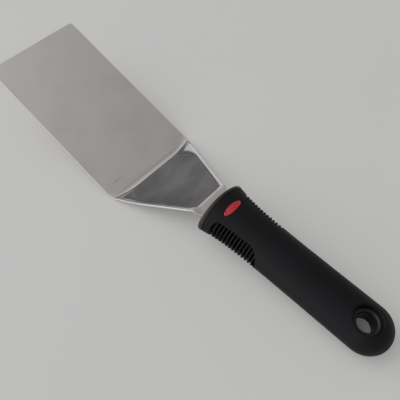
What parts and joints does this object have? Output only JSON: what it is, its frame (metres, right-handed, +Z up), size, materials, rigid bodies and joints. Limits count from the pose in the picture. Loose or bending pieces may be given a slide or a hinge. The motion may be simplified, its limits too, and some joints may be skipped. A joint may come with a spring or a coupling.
{
  "type": "grill spatula",
  "caption": "Offset grill spatula: stainless blade with a sloped neck, and a black soft-grip handle with side fins and a hang hole.",
  "frame": {"origin": "on the table, under the middle of the tool's bounding box", "axes": "+X towards the front edge of the blade, +Y to the left, +Z up from the table that the tool lies on"},
  "size_m": [0.3366, 0.0786, 0.0437],
  "materials": {
    "blade_steel": "satin blade, polished neck",
    "core_plastic": "smooth moulded",
    "pin_steel": "turned",
    "soft_grip": "matte moulded elastomer",
    "badge_red": "smooth moulded"
  },
  "bodies": {
    "root": {"blade": "blade_steel", "core_upper": "core_plastic", "core_lower": "core_plastic", "tang_pins": "pin_steel", "grip_sleeve": "soft_grip", "badge": "badge_red"}
  },
  "joints": []
}
